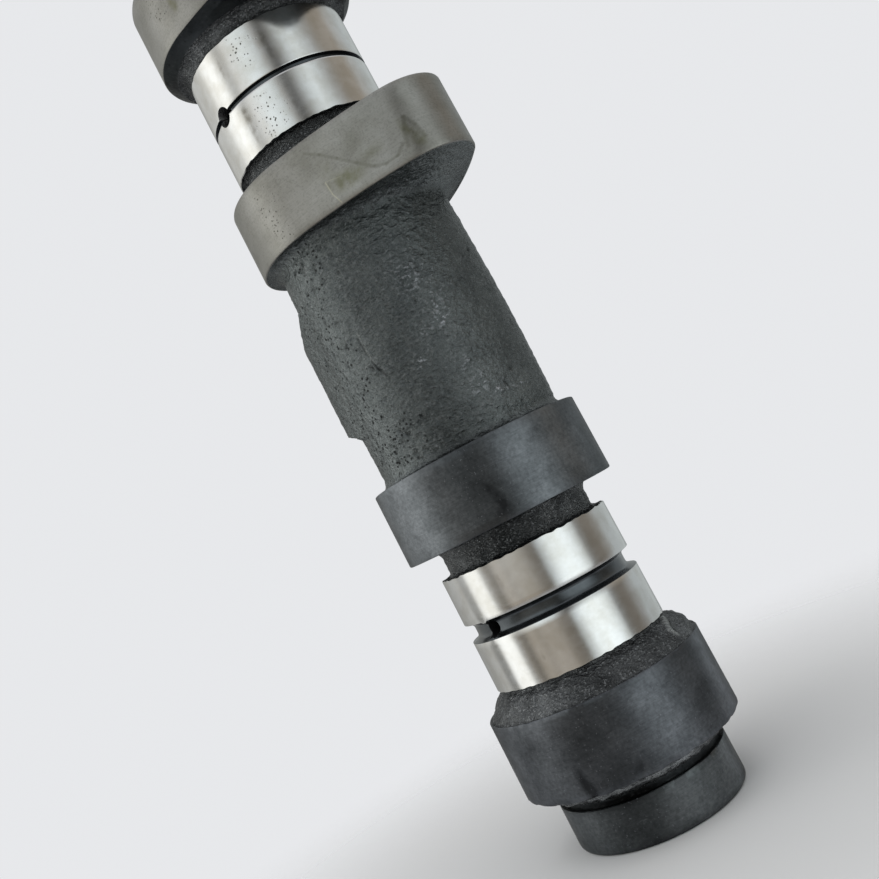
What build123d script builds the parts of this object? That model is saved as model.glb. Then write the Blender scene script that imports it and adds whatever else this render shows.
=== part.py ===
from build123d import *
import os
from math import acos, cos, degrees, radians, sin, tan

# Camshaft of a two-cylinder overhead-cam engine, cast in one piece and ground on its bearings
# and lobes. Millimetres. +Z runs up the shaft from the nose end to the drive end, and the
# origin is the centre of the nose end's flat face. Angles are counted from +X towards +Y.

# bearings and plain ends
journal_r = 15.0
spigot_r = 14.5
end_chamfer = 0.9
edge_break = 0.3

# lengths along the shaft, in order from the nose end upwards
spigot_length = 7.4
lobe_1_gap = 3.2
lobe_1_width = 13.2
front_journal_gap = 4.1
front_journal_width = 19.8
lobe_2_gap = 4.4
lobe_2_width = 13.1
long_shaft_length = 42.0
lobe_3_width = 12.7
rear_journal_gap = 4.7
rear_journal_width = 20.0
lobe_4_gap = 4.2
lobe_4_width = 13.0
end_journal_gap = 4.6
end_journal_width = 21.6

# cam lobes: a base circle, a rounded nose and two convex flanks that touch both
base_circle_r = 18.66
lift = 10.0
nose_tip_r = 9.0
flank_r = 70.0
lobe_angles = {1: 77.0, 2: 89.0, 3: -46.0, 4: -58.0}

# sloping cast flanks beside the lobes that have them, by their height along the shaft
flank_slope = 45.0
journal_flank = 2.8
rear_flank = 1.2
rear_flare = 2.6

# as-cast stretches: an undercut parts the nose end from the core under lobe 1, which stands
# out from it, and the relief and necks beside the bearings lie below them
undercut_width = 0.8
undercut_depth = 0.6
core_step = 0.7
relief_depth = 0.4
front_neck_depth = 1.8
rear_neck_depth = 1.1
neck_flare = 1.2

# long shaft between the cylinders: slightly barrelled, flared towards the lobes at its ends
shaft_end_r = 16.1
shaft_swell = 0.35
shaft_flare = 1.5
shaft_root_step = 0.96

# cast pad low on one side of the long shaft, with its lengths from lobe 2 upwards
pad_angle = 166.0
pad_height = 2.45
pad_round_r = 9.2
pad_root_depth = 1.7
pad_gap = 9.6
pad_foot_length = 2.3
pad_face_length = 15.7
pad_ramp_length = 6.2

# oil grooves, each with one radial hole into the gallery down the middle; the narrow groove's
# hole has a countersunk mouth
wide_groove_height = 10.2
wide_groove_width = 3.1
wide_groove_depth = 1.45
wide_groove_slope = 0.5
narrow_groove_height = 9.7
narrow_groove_width = 1.0
narrow_groove_depth = 0.75
oil_hole_r = 1.3
oil_mouth_r = 1.75
oil_mouth_depth = 1.4
oil_hole_angle = -140.0
gallery_r = 3.0
gallery_overrun = 6.95
drill_point_angle = 118.0

# drive end: a ring of tapped holes for the sprocket, and the hole for its timing dowel
sprocket_pitch_r = 10.0
sprocket_hole_count = 3
sprocket_hole_r = 2.5
sprocket_hole_depth = 14.0
dowel_hole_r = 2.0
dowel_hole_depth = 8.0
dowel_angle = 60.0

# coned centres in both ends, for turning and grinding between centres
centre_mouth_r = 4.0
centre_pilot_r = 1.6
centre_pilot_depth = 7.5
centre_cone_angle = 60.0


def span_above(below, gap, width):
    """Lower and upper height of a stretch that starts a gap above the one below it."""
    low = below[1] + gap
    return low, low + width


spigot_z = (0.0, spigot_length)
lobe_1_z = span_above(spigot_z, lobe_1_gap, lobe_1_width)
front_journal_z = span_above(lobe_1_z, front_journal_gap, front_journal_width)
lobe_2_z = span_above(front_journal_z, lobe_2_gap, lobe_2_width)
lobe_3_z = span_above(lobe_2_z, long_shaft_length, lobe_3_width)
rear_journal_z = span_above(lobe_3_z, rear_journal_gap, rear_journal_width)
lobe_4_z = span_above(rear_journal_z, lobe_4_gap, lobe_4_width)
end_journal_z = span_above(lobe_4_z, end_journal_gap, end_journal_width)
wide_groove_z = front_journal_z[0] + wide_groove_height
narrow_groove_z = rear_journal_z[0] + narrow_groove_height


def on_circle(radius, angle):
    """Point in the XY plane at a radius and an angle in degrees."""
    return Vector(radius * cos(radians(angle)), radius * sin(radians(angle)))


def bearing_steps(z_span, groove_z, width, depth, slope):
    """Outline of a ground bearing with an oil groove round it, as (radius, height) pairs."""
    low, high = z_span
    groove_low = groove_z - width / 2
    groove_high = groove_z + width / 2
    return [
        (journal_r - edge_break, low),
        (journal_r, low + edge_break),
        (journal_r, groove_low),
        (journal_r - depth, groove_low + slope),
        (journal_r - depth, groove_high - slope),
        (journal_r, groove_high),
        (journal_r, high - edge_break),
        (journal_r - edge_break, high),
    ]


def nose_steps():
    """Outline from the nose end to the long shaft, as (radius, height) pairs."""
    core_r = spigot_r + core_step
    relief_z = lobe_1_z[1] + journal_flank
    neck_r = journal_r - front_neck_depth
    return [
        (0, 0),
        (spigot_r - end_chamfer, 0),
        (spigot_r, end_chamfer),
        (spigot_r, spigot_length),
        (spigot_r - undercut_depth, spigot_length),
        (spigot_r - undercut_depth, spigot_length + undercut_width),
        (core_r, spigot_length + undercut_width + core_step),
        (core_r, relief_z),
        (journal_r - relief_depth, relief_z),
        (journal_r - relief_depth, front_journal_z[0]),
        *bearing_steps(
            front_journal_z,
            wide_groove_z,
            wide_groove_width,
            wide_groove_depth,
            wide_groove_slope,
        ),
        (neck_r, front_journal_z[1]),
        (neck_r, lobe_2_z[0] - neck_flare),
        (neck_r + neck_flare, lobe_2_z[0]),
        (base_circle_r - shaft_root_step, lobe_2_z[1]),
    ]


def drive_steps():
    """Outline from the long shaft to the drive end, as (radius, height) pairs."""
    neck_r = journal_r - rear_neck_depth
    root_z = lobe_4_z[0] - rear_flank
    return [
        (base_circle_r - shaft_root_step, lobe_3_z[0]),
        (neck_r + neck_flare, lobe_3_z[1]),
        (neck_r, lobe_3_z[1] + neck_flare),
        (neck_r, rear_journal_z[0]),
        *bearing_steps(
            rear_journal_z, narrow_groove_z, narrow_groove_width, narrow_groove_depth, 0
        ),
        (journal_r - edge_break, root_z - rear_flare),
        (base_circle_r - rear_flank - edge_break, root_z),
        (neck_r + neck_flare, lobe_4_z[1]),
        (neck_r, lobe_4_z[1] + neck_flare),
        (neck_r, end_journal_z[0]),
        (journal_r - edge_break, end_journal_z[0]),
        (journal_r, end_journal_z[0] + edge_break),
        (journal_r, end_journal_z[1] - end_chamfer),
        (journal_r - end_chamfer, end_journal_z[1]),
        (0, end_journal_z[1]),
        (0, 0),
    ]


def turned_body():
    """Everything that is round about the shaft's axis, as one revolved outline."""
    low = (shaft_end_r, lobe_2_z[1] + shaft_flare)
    middle = (shaft_end_r + shaft_swell, (lobe_2_z[1] + lobe_3_z[0]) / 2)
    high = (shaft_end_r, lobe_3_z[0] - shaft_flare)
    outline = Polyline(*nose_steps(), low)
    outline += ThreePointArc(low, middle, high)
    outline += Polyline(high, *drive_steps())
    return revolve(make_face(Plane.XZ * outline), Axis.Z)


def cam_face():
    """Cam outline with its nose towards +X: base circle, two convex flanks and the nose."""
    nose_x = base_circle_r + lift - nose_tip_r
    to_base = flank_r - base_circle_r
    to_nose = flank_r - nose_tip_r
    swing = degrees(acos((to_base**2 + nose_x**2 - to_nose**2) / (2 * to_base * nose_x)))
    centre = on_circle(to_base, -swing)
    nose = Vector(nose_x, 0)
    base_touch = on_circle(base_circle_r, 180 - swing)
    nose_touch = nose + (nose - centre).normalized() * nose_tip_r
    flank_middle = centre + ((base_touch + nose_touch) / 2 - centre).normalized() * flank_r
    flank = ThreePointArc(base_touch, flank_middle, nose_touch)
    tip = ThreePointArc(nose_touch, (nose_x + nose_tip_r, 0), (nose_touch.X, -nose_touch.Y))
    back = ThreePointArc((base_touch.X, -base_touch.Y), (-base_circle_r, 0), base_touch)
    return make_face(flank + tip + mirror(flank, Plane.XZ) + back)


def cam_lobe(z_span, angle, flank_under=0, flank_over=0):
    """Ground lobe, with a sloping cast flank on each side that has one."""
    low, high = z_span
    face = cam_face()
    lobe = extrude(face, high - low)
    bare = [z for z, size in ((0, flank_under), (high - low, flank_over)) if not size]
    for z in bare:
        lobe = chamfer(lobe.edges().filter_by_position(Axis.Z, z, z), edge_break)
    if flank_under:
        lobe += extrude(face, flank_under, dir=(0, 0, -1), taper=flank_slope)
    if flank_over:
        lobe += extrude(Pos(0, 0, high - low) * face, flank_over, taper=flank_slope)
    return Pos(0, 0, low) * Rot(0, 0, angle) * lobe


def cast_pad():
    """Low round-faced pad on the shaft: a short steep end below and a longer ramp above."""
    reach = shaft_end_r + pad_height
    root_r = shaft_end_r - pad_root_depth
    foot_z = lobe_2_z[1] + pad_gap
    step_z = foot_z + pad_foot_length
    ramp_z = step_z + pad_face_length
    end_z = ramp_z + pad_ramp_length
    side = Plane.XZ * make_face(
        Polyline(
            (0, foot_z),
            (root_r, foot_z),
            (reach, step_z),
            (reach, ramp_z),
            (root_r, end_z),
            (0, end_z),
            close=True,
        )
    )
    shaft = Circle(shaft_end_r)
    tip = Pos(reach - pad_round_r, 0) * Circle(pad_round_r)
    plan = make_hull(shaft.edges() + tip.edges())
    column = Pos(0, 0, foot_z) * extrude(plan, end_z - foot_z)
    return Rot(0, 0, pad_angle) * (column & extrude(side, shaft_end_r, both=True))


def oil_ways():
    """Blind gallery down the shaft, and a radial hole into it from each oil groove."""
    up = (Align.CENTER, Align.CENTER, Align.MIN)
    bottom_z = wide_groove_z - gallery_overrun
    point_depth = gallery_r / tan(radians(drill_point_angle / 2))
    ways = Pos(0, 0, bottom_z) * Cylinder(gallery_r, end_journal_z[1] - bottom_z, align=up)
    ways += Pos(0, 0, bottom_z - point_depth) * Cone(0, gallery_r, point_depth, align=up)
    hole = Rot(0, 90, 0) * Cylinder(oil_hole_r, journal_r, align=up)
    mouth = Cone(oil_hole_r, 2 * oil_mouth_r - oil_hole_r, 2 * oil_mouth_depth)
    countersunk = hole + Pos(journal_r, 0, 0) * Rot(0, 90, 0) * mouth
    ways += Pos(0, 0, wide_groove_z) * Rot(0, 0, oil_hole_angle) * hole
    ways += Pos(0, 0, narrow_groove_z) * Rot(0, 0, oil_hole_angle) * countersunk
    return ways


def coned_mouth(pilot_r):
    """Cone of a centre hole, opening downwards to its mouth at the origin."""
    depth = (centre_mouth_r - pilot_r) / tan(radians(centre_cone_angle / 2))
    return Cone(centre_mouth_r, pilot_r, depth, align=(Align.CENTER, Align.CENTER, Align.MIN))


def end_holes():
    """Centre hole in the nose end; coned mouth, sprocket and dowel holes in the drive end."""
    up = (Align.CENTER, Align.CENTER, Align.MIN)
    nose = coned_mouth(centre_pilot_r) + Cylinder(centre_pilot_r, centre_pilot_depth, align=up)
    drive = coned_mouth(gallery_r)
    for place in PolarLocations(sprocket_pitch_r, sprocket_hole_count):
        drive += place * Cylinder(sprocket_hole_r, sprocket_hole_depth, align=up)
    dowel_place = Pos(*on_circle(sprocket_pitch_r, -dowel_angle))
    drive += dowel_place * Cylinder(dowel_hole_r, dowel_hole_depth, align=up)
    return nose + Pos(0, 0, end_journal_z[1]) * Rot(180, 0, 0) * drive


def camshaft():
    shaft = turned_body() + cast_pad()
    shaft += cam_lobe(lobe_1_z, lobe_angles[1], flank_over=journal_flank)
    shaft += cam_lobe(lobe_2_z, lobe_angles[2])
    shaft += cam_lobe(lobe_3_z, lobe_angles[3])
    shaft += cam_lobe(lobe_4_z, lobe_angles[4], rear_flank)
    return shaft - oil_ways() - end_holes()


os.makedirs("parts", exist_ok=True)
solid = camshaft()
print("solids", len(solid.solids()), "volume", round(solid.volume), "valid", solid.is_valid)
export_step(solid, "parts/camshaft.step")
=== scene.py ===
# %% [markdown]
# # A cast-iron camshaft, step by step
# A camshaft turns in its bearings and opens an engine's valves with its lobes. This one is cast
# in one piece and ground only where it has to be true: on its bearings and its lobes. The
# measured model gives every size, and this lesson gives the casting its skin and its finishes.
# The first cell loads that model.

# %% Load the measured model
import math

import bmesh
import bpy
import numpy as np
from mathutils import Matrix, Vector, noise


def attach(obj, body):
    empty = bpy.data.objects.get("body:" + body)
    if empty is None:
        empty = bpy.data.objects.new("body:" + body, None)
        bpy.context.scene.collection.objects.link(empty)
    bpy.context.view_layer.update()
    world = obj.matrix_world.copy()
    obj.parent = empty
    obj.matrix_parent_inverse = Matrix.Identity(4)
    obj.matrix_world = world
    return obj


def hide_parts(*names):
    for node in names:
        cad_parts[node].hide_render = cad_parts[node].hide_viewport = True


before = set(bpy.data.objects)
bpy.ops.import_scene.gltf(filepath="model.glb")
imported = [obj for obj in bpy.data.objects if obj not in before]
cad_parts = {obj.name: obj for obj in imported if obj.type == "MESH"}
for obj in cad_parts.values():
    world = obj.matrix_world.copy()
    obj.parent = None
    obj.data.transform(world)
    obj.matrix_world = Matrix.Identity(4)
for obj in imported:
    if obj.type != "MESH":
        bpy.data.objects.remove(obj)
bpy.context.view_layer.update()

MM = 0.001

# %% [markdown]
# ## Camera
# The shaft stands upright on its nose end and lies aslant in the picture, so the camera is
# rolled and not the shaft. A camera can be placed by trial, but here its place, its aim, its
# lens and its small shift were fitted to the edges of the ground bands in the photograph.

# %% Camera
CAMERA_PLACE = Vector((-4.590, -172.751, 55.232)) * MM
CAMERA_AIM = Vector((-13.875, 0.0, 80.117)) * MM
CAMERA_ROLL = math.radians(-27.172)
CAMERA_LENS = 41.446
CAMERA_SHIFT = (0.0893, -0.0347)

camera = bpy.data.objects.new("camera", bpy.data.cameras.new("camera"))
bpy.context.scene.collection.objects.link(camera)
bpy.context.scene.camera = camera
towards = (CAMERA_AIM - CAMERA_PLACE).to_track_quat("-Z", "Y").to_matrix().to_4x4()
rolled = towards @ Matrix.Rotation(CAMERA_ROLL, 4, "Z")
camera.matrix_world = Matrix.Translation(CAMERA_PLACE) @ rolled
camera.data.lens = CAMERA_LENS
camera.data.shift_x, camera.data.shift_y = CAMERA_SHIFT
camera.data.clip_start = 0.01
print("camera", [round(x, 4) for x in CAMERA_PLACE], "lens", CAMERA_LENS)

# %% [markdown]
# ## Node helpers
# The world, the floor and every finish are small node trees. They can be wired by hand in the
# shader editor. In a script a few helpers keep them short: one puts a node in and wires it, and
# the others are the sums, the ramp and the mix that come back most often.

# %% Node helpers


def put(tree, kind, inputs=None, **settings):
    """Adds a shader node, with its settings, and links or sets the inputs named."""
    node = tree.nodes.new("ShaderNode" + kind)
    for name, value in settings.items():
        setattr(node, name, value)
    for name, value in (inputs or {}).items():
        socket = node.inputs[name]
        if isinstance(value, bpy.types.NodeSocket):
            tree.links.new(value, socket)
        else:
            socket.default_value = value
    return node


def calculate(tree, operation, first, second=0.0, third=0.0):
    """A Math node's result."""
    node = put(tree, "Math", {0: first, 1: second, 2: third}, operation=operation)
    return node.outputs[0]


def vector_math(tree, operation, first, second=None):
    """A Vector Math node's outputs: Vector, and Value where the result is one number."""
    inputs = {0: first} if second is None else {0: first, 1: second}
    return put(tree, "VectorMath", inputs, operation=operation).outputs


def ramp(tree, fac, stops, interpolation="LINEAR"):
    """A colour ramp's result, from (position, colour or grey) stops."""
    node = put(tree, "ValToRGB", {"Fac": fac})
    node.color_ramp.interpolation = interpolation
    keys = node.color_ramp.elements
    while len(keys) < len(stops):
        keys.new(1.0)
    for key, (position, colour) in zip(keys, stops):
        key.position = position
        key.color = (*colour, 1.0) if isinstance(colour, tuple) else (colour,) * 3 + (1.0,)
    return node.outputs["Color"]


def blend(tree, fac, first, second, how="MIX"):
    """Two colours mixed."""
    inputs = {"Fac": fac, "Color1": first, "Color2": second}
    return put(tree, "MixRGB", inputs, blend_type=how).outputs["Color"]


# %% [markdown]
# ## Studio
# A ground bearing is nearly a mirror bent round a cylinder, so what is seen on it is the studio:
# each upright card becomes a streak along the shaft. Lamps could stand there one by one. Here
# the light is one far ring of cards, which lights the part softly from all round and which the
# camera doesn't see. Behind it the world is a plain pale backdrop, for camera and metal alike.

# %% The plain world
BACKDROP = (0.80, 0.81, 0.83, 1.0)
SOFT_LEVEL = (0.78, 0.78, 0.78, 1.0)
world = bpy.data.worlds.new("studio")
bpy.context.scene.world = world
world.use_nodes = True
sky = world.node_tree
rays = put(sky, "LightPath").outputs
seen = calculate(sky, "MAXIMUM", rays["Is Camera Ray"], rays["Is Glossy Ray"])
seen = calculate(sky, "MAXIMUM", seen, rays["Is Transmission Ray"])
sky.links.new(blend(sky, seen, SOFT_LEVEL, BACKDROP), sky.nodes["Background"].inputs["Color"])
print("backdrop:", BACKDROP[:3])

# %% [markdown]
# ## The cards
# A photographer hangs cards of white, cream and cool paper, each lit more or less. The lists say
# so for the shaft's own level and for higher up, and a ramp passes from each card to the next.

# %% The cards' papers and places
# the three papers, as red, green and blue
WHITE = (0.99, 1.00, 0.96)
CREAM = (1.10, 1.00, 0.85)
COOL = (0.93, 1.00, 1.00)
# compass direction in degrees from +X towards +Y, then the card's brightness and its paper
LEVEL_STRIPS = [
    (-180, 1.66, WHITE), (-164, 1.66, WHITE), (-158, 0.60, WHITE), (-152, 0.31, CREAM),
    (-146, 0.18, CREAM), (-140, 0.43, CREAM), (-134, 0.50, CREAM), (-126, 0.40, CREAM),
    (-118, 0.48, CREAM), (-103, 0.43, CREAM), (-94, 0.27, CREAM), (-83, 0.20, CREAM),
    (-78, 0.76, COOL), (-66, 1.57, COOL), (-52, 1.74, COOL), (-38, 1.58, COOL), (-27, 1.02, COOL),
    (-21, 0.31, WHITE), (-12, 0.19, CREAM), (0, 0.21, CREAM), (12, 0.40, WHITE), (22, 0.60, COOL),
    (60, 0.65, COOL), (70, 0.40, COOL), (110, 0.35, WHITE), (128, 0.46, WHITE),
    (154, 0.68, WHITE), (160, 0.38, WHITE), (170, 0.35, WHITE), (176, 1.56, WHITE),
]
UPPER_STRIPS = [
    (-180, 1.75, WHITE), (-170, 1.75, WHITE), (-163, 1.41, WHITE), (-157, 0.84, WHITE),
    (-150, 0.70, WHITE), (-140, 1.09, WHITE), (-120, 1.28, COOL), (-107, 1.10, COOL),
    (-100, 0.90, COOL), (-94, 0.56, WHITE), (-88, 0.24, WHITE), (-81, 0.15, WHITE),
    (-75, 0.33, WHITE), (-63, 0.88, COOL), (-51, 1.13, COOL), (-38, 0.86, COOL),
    (-25, 0.49, WHITE), (-12, 0.36, CREAM), (8, 0.41, CREAM), (20, 0.57, WHITE), (40, 0.64, COOL),
    (60, 0.66, COOL), (70, 0.42, COOL), (110, 0.41, WHITE), (124, 0.69, WHITE),
    (148, 0.80, WHITE), (164, 1.07, WHITE), (172, 1.56, WHITE),
]
print("cards at shaft level:", len(LEVEL_STRIPS), "cards higher up:", len(UPPER_STRIPS))

# %% The cards' paint
# a colour ramp holds no colour over 1, so the cards are painted at half brightness and glow double
GLOW = 2.0
DARK_EDGE = (0.16, 0.16, 0.17, 1.0)
paint = bpy.data.materials.new("studio_cards")
paint.use_nodes = True
tree = paint.node_tree
tree.nodes.clear()
place = put(tree, "TexCoord").outputs["Object"]
heading = vector_math(tree, "NORMALIZE", place)["Vector"]
axes = put(tree, "SeparateXYZ", {0: heading}).outputs
compass = calculate(tree, "ARCTAN2", axes["Y"], axes["X"])
compass = calculate(tree, "MULTIPLY_ADD", compass, 0.5 / math.pi, 0.5)


def strips(levels):
    """The cards' colour by compass direction."""
    stops = []
    for angle, brightness, paper in levels:
        stops.append(((angle + 180) / 360, tuple(brightness / GLOW * tint for tint in paper)))
    return ramp(tree, compass, stops)


def by_height(slope, start):
    """0 up to some height on the ring and 1 past another."""
    share = calculate(tree, "MULTIPLY_ADD", axes["Z"], slope, start)
    share.node.use_clamp = True
    return share


cards = blend(tree, by_height(3.0, 0.35), strips(LEVEL_STRIPS), strips(UPPER_STRIPS))
cards = blend(tree, by_height(6.0, -3.2), cards, (*(v / GLOW for v in BACKDROP[:3]), 1.0))
cards = blend(tree, by_height(-3.0, -0.9), cards, DARK_EDGE)
glow = put(tree, "Emission", {"Color": cards, "Strength": GLOW})
put(tree, "OutputMaterial", {"Surface": glow.outputs[0]})
print("nodes in the cards' paint:", len(tree.nodes))

# %% The ring of cards
# how far away the ring stands, in metres, and the heights of its edges as shares of that
CARDS_AWAY, CARDS_LOW, CARDS_HIGH = 8.0, -0.78, 0.72
band = bmesh.new()
bmesh.ops.create_uvsphere(band, u_segments=96, v_segments=48, radius=CARDS_AWAY)
past = [v for v in band.verts if not CARDS_LOW < v.co.z / CARDS_AWAY < CARDS_HIGH]
bmesh.ops.delete(band, geom=past, context="VERTS")
ring_mesh = bpy.data.meshes.new("studio_cards")
band.to_mesh(ring_mesh)
band.free()
ring_mesh.materials.append(paint)
ring = bpy.data.objects.new("studio_cards", ring_mesh)
bpy.context.scene.collection.objects.link(ring)
ring.visible_camera = False
print("faces of the ring:", len(ring_mesh.polygons))

# %% [markdown]
# ## Floor
# The floor is a plain pale disc. It grows clear a hand's breadth away from the shaft, so that it
# passes into the backdrop with no edge, and the shaft still stands in its soft shadow.

# %% Floor
FLOOR_REACH, FADE_FROM, FADE_TO = 0.15, 0.035, 0.14
bpy.ops.mesh.primitive_circle_add(vertices=96, radius=FLOOR_REACH, fill_type="NGON")
floor = bpy.context.object
floor.name = "floor"
paint = bpy.data.materials.new("pale_floor")
paint.use_nodes = True
tree = paint.node_tree
tree.nodes.clear()
place = put(tree, "TexCoord").outputs["Object"]
away = vector_math(tree, "LENGTH", place)["Value"]
fade = ramp(tree, away, [(FADE_FROM, 0.0), (FADE_TO, 1.0)], "EASE")
matt = put(tree, "BsdfDiffuse", {"Color": (0.80, 0.80, 0.81, 1.0)})
clear = put(tree, "BsdfTransparent")
mix = put(tree, "MixShader", {0: fade, 1: matt.outputs[0], 2: clear.outputs[0]})
put(tree, "OutputMaterial", {"Surface": mix.outputs[0]})
floor.data.materials.append(paint)
bpy.context.scene.view_settings.view_transform = "Standard"
print("floor reaches", FLOOR_REACH, "m and is clear from", FADE_TO, "m on")

# %% [markdown]
# ## The stations
# A turner reads a shaft as a list of stations: how far up each ground band starts and ends. The
# four lobes share one cam outline, which is a base circle, two long convex flanks and a small
# nose circle. Its radius in any direction is found by cutting each of those arcs with a ray.
# The columns of the skin stand closer together on the side that the picture shows.

# %% Stations, in millimetres
COLUMNS = 240
even_turn = np.arange(COLUMNS) * 2 * np.pi / COLUMNS
turn = (even_turn - 0.4 * np.sin(even_turn) - np.pi / 2) % (2 * np.pi)

SPIGOT_R, BEARING_R, BASE_R, GALLERY_R = 14.5, 15.0, 18.66, 3.0
LIFT, NOSE_R, FLANK_R = 10.0, 9.0, 70.0
LOBE_ANGLES = {1: 77.0, 2: 89.0, 3: -46.0, 4: -58.0}
SPIGOT_TOP, UNDERCUT_R, UNDERCUT_TOP, CORE_R = 7.4, 13.7, 8.25, 15.4
LOBE_1, LOBE_2, LOBE_3, LOBE_4 = (10.6, 23.8), (52.1, 65.2), (107.2, 119.9), (148.8, 161.8)
FRONT_BEARING, REAR_BEARING, END_BEARING = (27.9, 47.7), (124.6, 144.6), (166.4, 188.0)
WIDE_GROOVE, NARROW_GROOVE = (36.55, 39.65), (133.8, 134.8)
print("columns:", COLUMNS, "shaft length:", END_BEARING[1])

# %% The cam outline


def cam(lobe, inset=0.0):
    """Radius of a lobe's outline in every column, drawn in by an inset."""
    angle = np.degrees(turn) - LOBE_ANGLES[lobe]
    off = np.radians(np.abs((angle + 180) % 360 - 180))
    nose_x = BASE_R + LIFT - NOSE_R
    to_base, to_nose = FLANK_R - BASE_R, FLANK_R - NOSE_R
    swing = math.acos((to_base**2 + nose_x**2 - to_nose**2) / (2 * to_base * nose_x))
    centre = to_base * np.array([math.cos(swing), -math.sin(swing)])
    lean = (np.array([nose_x, 0.0]) - centre) / to_nose
    nose_touch = np.array([nose_x, 0.0]) + lean * NOSE_R
    base, nose, flank = BASE_R - inset, NOSE_R - inset, FLANK_R - inset
    across = centre[0] * np.sin(off) - centre[1] * np.cos(off)
    by_flank = centre @ [np.cos(off), np.sin(off)] + np.sqrt(flank**2 - across**2)
    square = np.maximum(nose**2 - (nose_x * np.sin(off)) ** 2, 0)
    by_nose = nose_x * np.cos(off) + np.sqrt(square)
    nose_angle = math.atan2(nose_touch[1], nose_touch[0])
    return np.where(off > math.pi - swing, base, np.where(off > nose_angle, by_flank, by_nose))


print("cam outline, mm:", round(cam(3).min(), 2), "to", round(cam(3).max(), 2))

# %% [markdown]
# ## The skin as a stack of rings
# The camshaft could be carved from a cylinder with booleans, but a casting needs an even mesh
# that can be roughened. So the skin is one stack of rings, from the bottom of the nose end's
# centre hole, out over the end, up the shaft and in again to the gallery. Each ring has a radius
# and a height in every column. Short helpers add rings straight on or round a bend.

# %% Ring helpers
PILOT_R, PILOT_DEPTH, CONE_R, CONE_DEPTH, POINT_R = 1.6, 7.5, 4.0, 4.16, 0.02
rings = [(np.full(COLUMNS, POINT_R), np.full(COLUMNS, PILOT_DEPTH))]
ring_finish = []


def everywhere(value):
    """The same value in every column, unless there is one for each already."""
    return np.broadcast_to(np.asarray(value, float), (COLUMNS,))


def add_rings(finish, radius, height, shares):
    """Rings between the last one and a new one, by how far each has moved across and along."""
    from_radius, from_height = rings[-1]
    for across, along in shares:
        rings.append((
            from_radius + (everywhere(radius) - from_radius) * across,
            from_height + (everywhere(height) - from_height) * along,
        ))
        ring_finish.append(finish)


def straight(finish, radius, height, steps=1):
    """Rings on straight lines to a new radius and height."""
    add_rings(finish, radius, height, [(s / steps, s / steps) for s in range(1, steps + 1)])


def bend(finish, radius, height, steps=4, leaving="along"):
    """A quarter round that leaves along the shaft or across it."""
    quarter = [math.pi / 2 * s / steps for s in range(1, steps + 1)]
    shares = [(1 - math.cos(a), math.sin(a)) for a in quarter]
    if leaving == "across":
        shares = [(along, across) for across, along in shares]
    add_rings(finish, radius, height, shares)


def uneven(size, grain, seed):
    """Small random heights round the shaft, for an edge that was left as it was cast."""
    reach = BEARING_R / grain
    return np.array([
        size * noise.noise(Vector((reach * math.cos(a), reach * math.sin(a), seed * 7.3)))
        for a in turn
    ])


# %% [markdown]
# ## Nose end and lobe 1
# The nose end is a smooth turned spigot with a coned centre hole. A narrow undercut parts it
# from the casting that shows under lobe 1, where the lobe's ground edge is ragged. The flank
# over the lobe is cast too, and falls into a shallow valley below the bearing.

# %% Nose end and lobe 1
# the small bevel at the edge of a ground band, and the round on the nose end's own edge
EDGE, NOSE_ROUND = 0.12, 0.9
straight("drilled", PILOT_R, PILOT_DEPTH)
straight("drilled", PILOT_R, CONE_DEPTH, 1)
straight("turned_end", CONE_R, 0.0, 2)
straight("turned_end", SPIGOT_R - NOSE_ROUND, 0.0, 4)
bend("smooth_end", SPIGOT_R, NOSE_ROUND, 5, "across")
straight("smooth_end", SPIGOT_R, SPIGOT_TOP - EDGE + uneven(0.06, 2.0, 1), 6)
straight("smooth_end", SPIGOT_R - 0.1, SPIGOT_TOP)
# the undercut takes the nearly black smooth skin, painted shade in the recess
straight("smooth_casting", UNDERCUT_R, SPIGOT_TOP, 2)
straight("smooth_casting", UNDERCUT_R, UNDERCUT_TOP + uneven(0.30, 1.0, 10), 3)
straight("black_casting", CORE_R, UNDERCUT_TOP + 0.75 + uneven(0.30, 1.2, 11), 3)
straight("black_casting", CORE_R + 0.6, LOBE_1[0] - 0.5, 4)
straight("black_casting", cam(1) - 0.5, LOBE_1[0] - 0.15, 7)
ragged_low = LOBE_1[0] + 0.1 + uneven(0.20, 1.6, 2)
straight("black_casting", cam(1) - 0.15, ragged_low, 2)
straight("front_lobe", cam(1), ragged_low + 0.2)
straight("front_lobe", cam(1), LOBE_1[1] - 0.15, 18)
ragged_high = LOBE_1[1] + uneven(0.10, 1.5, 3)
straight("front_lobe", cam(1) - EDGE, ragged_high)
print("rings so far:", len(rings))

# %% [markdown]
# ## Front bearing
# A ground band starts with a bevel on the casting's ragged edge. Two bearings have an oil groove
# turned into them, so one helper makes the rest of the band for both. The groove's floor is a
# power curve, flat with rounded corners.

# %% Flank and front bearing
LOW_EDGE_R, HIGH_EDGE_R, VALLEY_R = 14.86, 14.88, 14.6


def onto_bearing(low, steps=1):
    """From the casting up to a bearing's radius, at its ragged lower edge."""
    straight("black_casting", LOW_EDGE_R, low, steps)
    straight("bright_bearing", BEARING_R, low + EDGE)


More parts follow.
